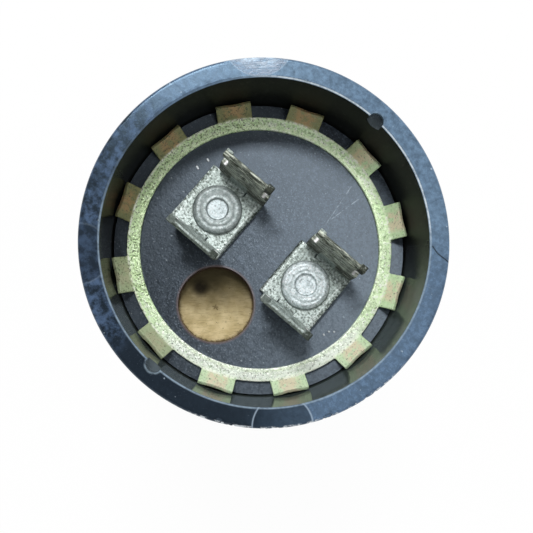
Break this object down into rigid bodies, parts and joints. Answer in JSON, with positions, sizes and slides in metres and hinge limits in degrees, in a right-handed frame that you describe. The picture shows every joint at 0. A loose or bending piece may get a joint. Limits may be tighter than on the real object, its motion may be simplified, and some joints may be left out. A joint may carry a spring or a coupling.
{
  "type": "motor start capacitor",
  "caption": "Round moulded start capacitor with a recessed terminal disc, double-blade push-on terminals, a pressure vent and a sprung retaining ring.",
  "frame": {"origin": "centre of the case's flat base", "axes": "+Z along the case axis, from the base to the open rim; +X through the two rivets; the vent lies on the -Y side"},
  "size_m": [0.0364, 0.0364, 0.0699],
  "materials": {
    "case_moulding": "dark blue-black moulding, worn and scuffed on the rim",
    "card": "plain",
    "winding_paper": "wound foil and paper",
    "wrap_paper": "kraft",
    "seal_rubber": "matt",
    "diaphragm_fibre": "stained fibre",
    "disc_phenolic": "fine-grained laminate",
    "ring_plated_steel": "yellow passivated zinc, speckled",
    "lead_aluminium": "plain",
    "washer_aluminium": "plain",
    "terminal_tinned": "dull tin plate",
    "rivet_aluminium": "rolled, lightly marked"
  },
  "bodies": {
    "root": {"case": "case_moulding", "base_pad": "card", "winding": "winding_paper", "winding_wrap": "wrap_paper", "seal_ring": "seal_rubber", "vent_diaphragm": "diaphragm_fibre", "terminal_disc": "disc_phenolic", "retaining_ring": "ring_plated_steel", "lead_strip_left": "lead_aluminium", "lead_strip_right": "lead_aluminium", "rivet_washer_left": "washer_aluminium", "rivet_washer_right": "washer_aluminium", "terminal_left": "terminal_tinned", "terminal_right": "terminal_tinned", "rivet_left": "rivet_aluminium", "rivet_right": "rivet_aluminium"}
  },
  "joints": []
}
